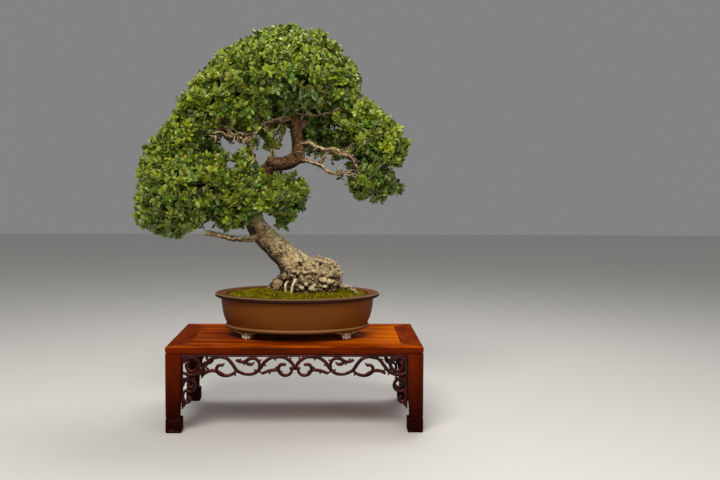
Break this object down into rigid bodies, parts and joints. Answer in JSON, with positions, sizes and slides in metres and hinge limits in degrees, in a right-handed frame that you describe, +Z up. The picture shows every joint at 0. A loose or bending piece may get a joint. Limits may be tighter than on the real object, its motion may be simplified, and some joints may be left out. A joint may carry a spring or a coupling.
{
  "type": "bonsai tree",
  "caption": "Leaning coast live oak bonsai with a knobby burl and leaf clouds, moss-topped, in an oval clay pot with scroll feet on a carved openwork display stand.",
  "frame": {"origin": "on the floor, under the middle of the bounding box of the stand, pot and tree", "axes": "+X to the right along the stand's long front, +Y from the front to the back, +Z up"},
  "size_m": [0.8008, 0.4158, 1.0984],
  "materials": {
    "panel_wood": "satin",
    "rail_wood": "satin",
    "leg_wood": "satin",
    "carved_wood": "gloss",
    "clay": "matte",
    "bark": "matte",
    "leaf": "satin",
    "moss": "matte",
    "soil": "matte",
    "screen_plastic": "matte",
    "wire": "satin"
  },
  "bodies": {
    "root": {"stand_panel": "panel_wood", "stand_rail_front": "rail_wood", "stand_rail_right": "rail_wood", "stand_rail_back": "rail_wood", "stand_rail_left": "rail_wood", "stand_batten_left": "rail_wood", "stand_batten_right": "rail_wood", "stand_leg_front_left": "leg_wood", "stand_leg_front_right": "leg_wood", "stand_leg_back_right": "leg_wood", "stand_leg_back_left": "leg_wood", "stand_apron_front": "carved_wood", "stand_apron_right": "carved_wood", "stand_apron_back": "carved_wood", "stand_apron_left": "carved_wood", "stand_spandrel_front_a": "carved_wood", "stand_spandrel_front_b": "carved_wood", "stand_spandrel_right_a": "carved_wood", "stand_spandrel_right_b": "carved_wood", "stand_spandrel_back_a": "carved_wood", "stand_spandrel_back_b": "carved_wood", "stand_spandrel_left_a": "carved_wood", "stand_spandrel_left_b": "carved_wood", "pot": "clay", "drain_screen_left": "screen_plastic", "drain_screen_right": "screen_plastic", "screen_clip_left": "wire", "screen_clip_right": "wire", "soil": "soil", "moss": "moss", "trunk_and_branches": "bark", "foliage_apex": "leaf", "foliage_upper_left": "leaf", "foliage_upper_right": "leaf", "foliage_left_shoulder": "leaf", "foliage_left_upper": "leaf", "foliage_left_middle": "leaf", "foliage_left_low": "leaf", "foliage_left_inner": "leaf", "foliage_left_under": "leaf", "foliage_left_front": "leaf", "foliage_upper_front": "leaf", "foliage_crown_left": "leaf", "foliage_right_shoulder": "leaf", "foliage_right_outer": "leaf", "foliage_right_inner": "leaf", "foliage_right_low": "leaf", "foliage_back_right": "leaf", "foliage_center_front": "leaf", "foliage_center_low": "leaf", "foliage_low_front": "leaf", "foliage_back_upper": "leaf", "foliage_back_low": "leaf"}
  },
  "joints": []
}
